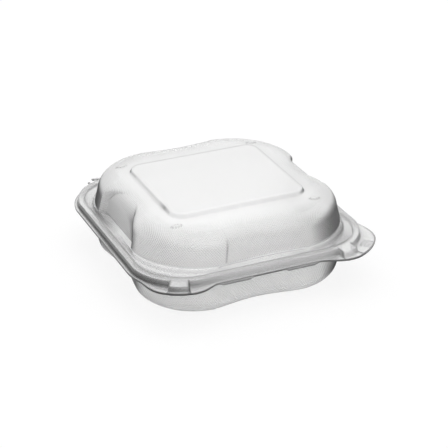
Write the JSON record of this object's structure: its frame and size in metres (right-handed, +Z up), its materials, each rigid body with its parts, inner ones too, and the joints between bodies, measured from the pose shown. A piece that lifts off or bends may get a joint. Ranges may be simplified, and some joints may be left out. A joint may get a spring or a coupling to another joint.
{
  "type": "hinged food container",
  "caption": "Clear thermoformed takeaway container with a lobed base tray, a lobed lid on a living hinge, a raised platform on top, corner snaps and a lift tab.",
  "frame": {"origin": "centre of the flat underside of the base tray", "axes": "+Z up, +X to the right along the hinge, -Y towards the front, where the snaps and the lift tab are"},
  "size_m": [0.2055, 0.2227, 0.073],
  "materials": {
    "clear_plastic": "clear and slightly hazy, with a fine diamond texture on the walls"
  },
  "bodies": {
    "base": {"base_tray": "clear_plastic"},
    "lid": {"lid": "clear_plastic"}
  },
  "joints": [
    {"name": "lid_hinge", "type": "hinge", "parent": "base", "child": "lid", "pos_m": [0, 0.1125, 0.03595], "axis": [-1, 0, 0], "range_deg": [0, 175]}
  ]
}
